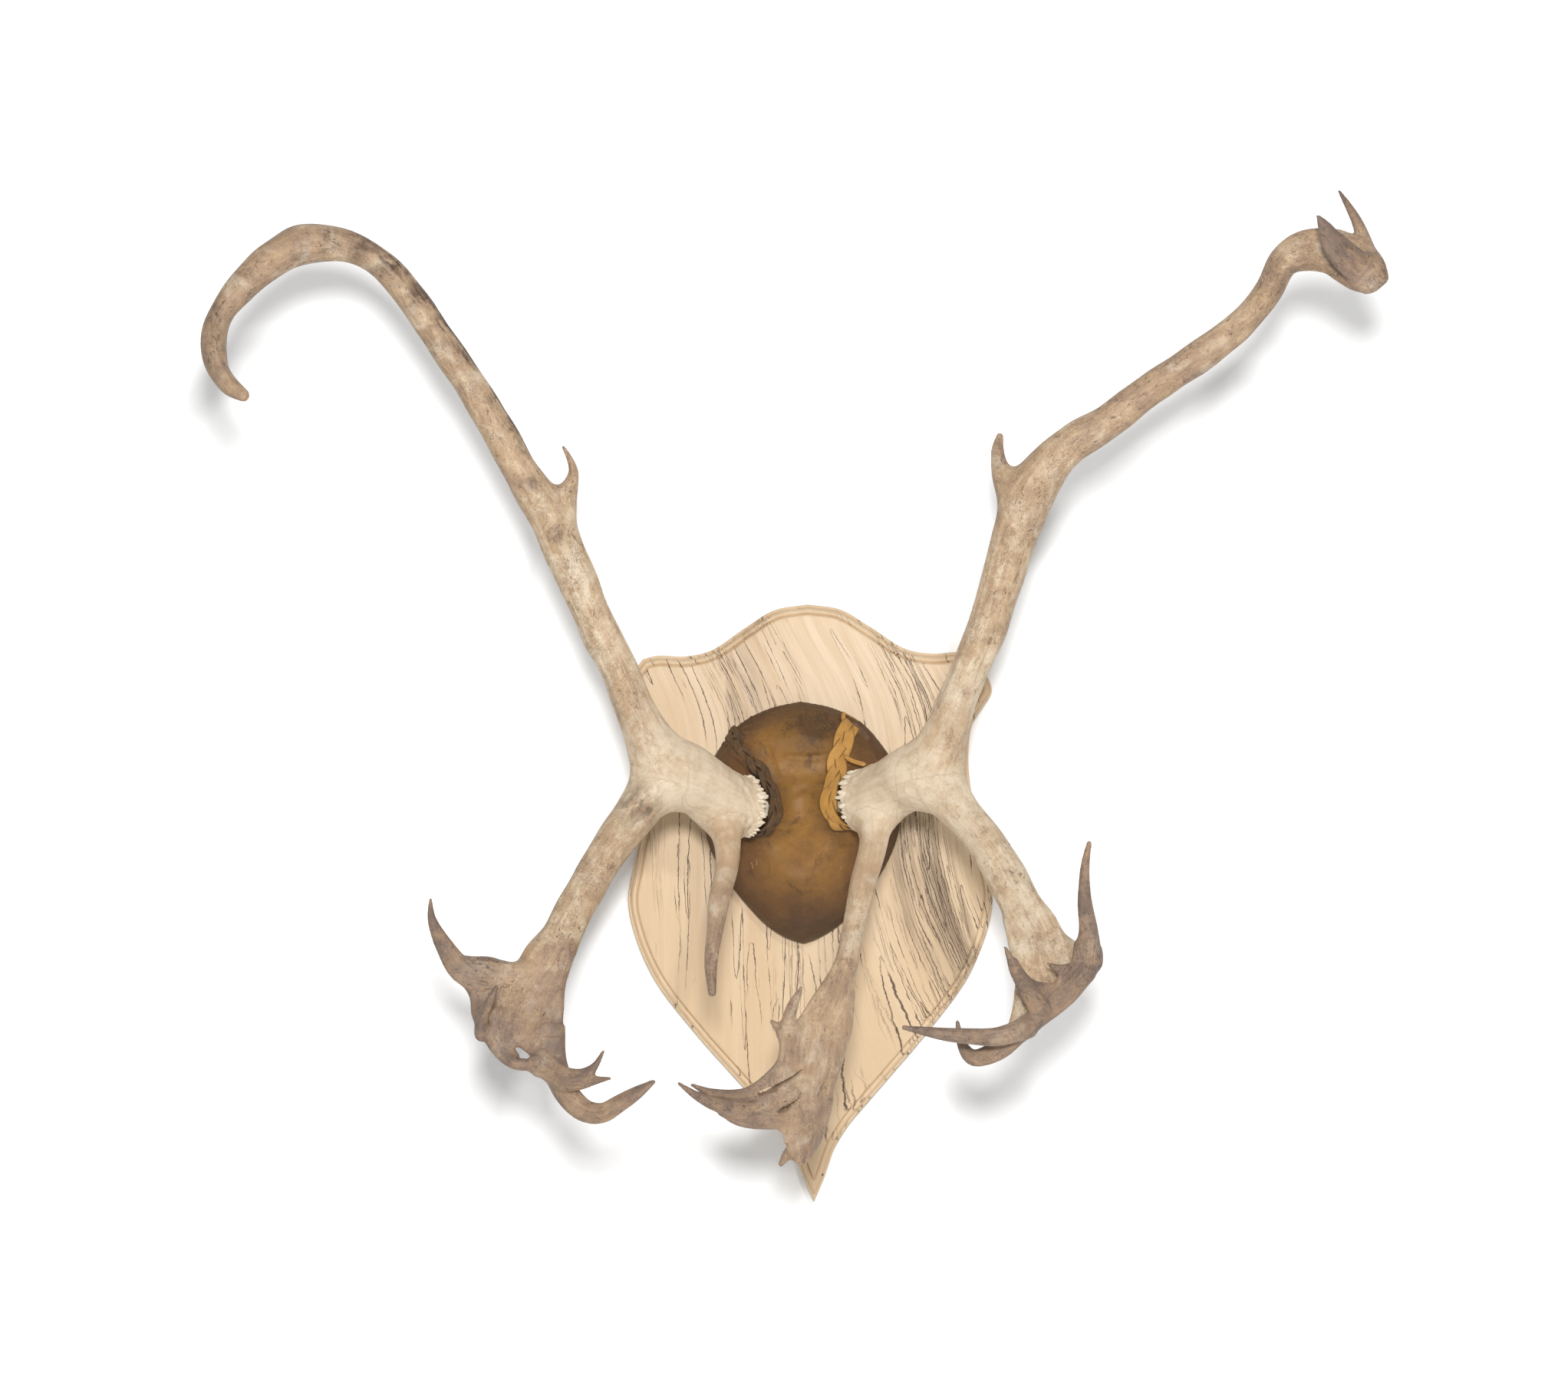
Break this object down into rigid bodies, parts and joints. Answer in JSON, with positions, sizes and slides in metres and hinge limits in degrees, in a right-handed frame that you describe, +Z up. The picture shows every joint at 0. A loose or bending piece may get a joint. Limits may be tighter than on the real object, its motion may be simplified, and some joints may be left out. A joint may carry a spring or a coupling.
{
  "type": "caribou antler trophy",
  "caption": "Caribou antlers with palmed tines on a leather-covered skull plate, mounted on a carved pale wooden shield that hangs on a wall.",
  "frame": {"origin": "middle of the shield's flat back face", "axes": "+Y is the outward normal of the back face, into the wall; the antlers reach towards -Y; +X is to the viewer's right; +Z is up"},
  "size_m": [0.9818, 0.3474, 0.8768],
  "materials": {
    "spalted_maple": "satin pale maple with dark spalt lines",
    "bone": "dry matt bone",
    "brown_leather": "smooth golden-brown leather, burnished darker at the edges",
    "dark_braid_leather": "smooth dark brown leather",
    "tan_braid_leather": "smooth tan leather",
    "antler": "dry matt antler with fine grooves and brown stain",
    "zinc_steel": "bright zinc"
  },
  "bodies": {
    "root": {"shield": "spalted_maple", "skull_plate": "bone", "leather_cover": "brown_leather", "left_braid": "dark_braid_leather", "right_braid": "tan_braid_leather", "left_beam": "antler", "left_bez_palm": "antler", "left_brow_tine": "antler", "right_beam": "antler", "right_bez_palm": "antler", "right_brow_shovel": "antler", "skull_screw_top": "zinc_steel", "skull_screw_left": "zinc_steel", "skull_screw_right": "zinc_steel", "hanger_plate": "zinc_steel", "hanger_screw_upper": "zinc_steel", "hanger_screw_lower": "zinc_steel"}
  },
  "joints": []
}
